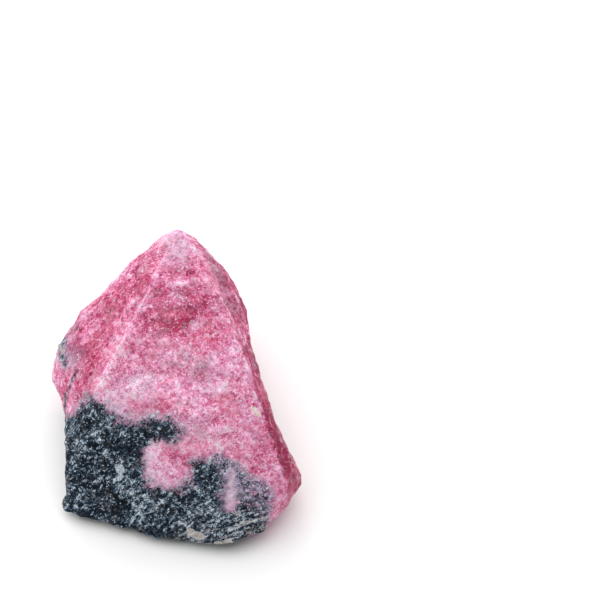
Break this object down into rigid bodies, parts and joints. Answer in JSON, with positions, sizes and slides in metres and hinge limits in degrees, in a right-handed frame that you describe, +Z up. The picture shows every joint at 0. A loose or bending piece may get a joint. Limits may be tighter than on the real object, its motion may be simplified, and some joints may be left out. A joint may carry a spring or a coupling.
{
  "type": "rhodochrosite specimen",
  "caption": "Rough hand specimen of granular rose-pink mineral with blue-black masses, a domed front and a back peak, lying on its flattest side.",
  "frame": {"origin": "middle of the base of the bounding box, on the surface that the stone lies on", "axes": "+Z up, -Y towards the long domed front face, +X to the right of it; the peak stands towards +Y"},
  "size_m": [0.0486, 0.0624, 0.034],
  "materials": {
    "granular_mineral": "rough broken mineral: sugary rose-pink grains with glinting faces, paler and deeper patches, and grainy blue-black masses"
  },
  "bodies": {
    "root": {"rough_stone": "granular_mineral"}
  },
  "joints": []
}
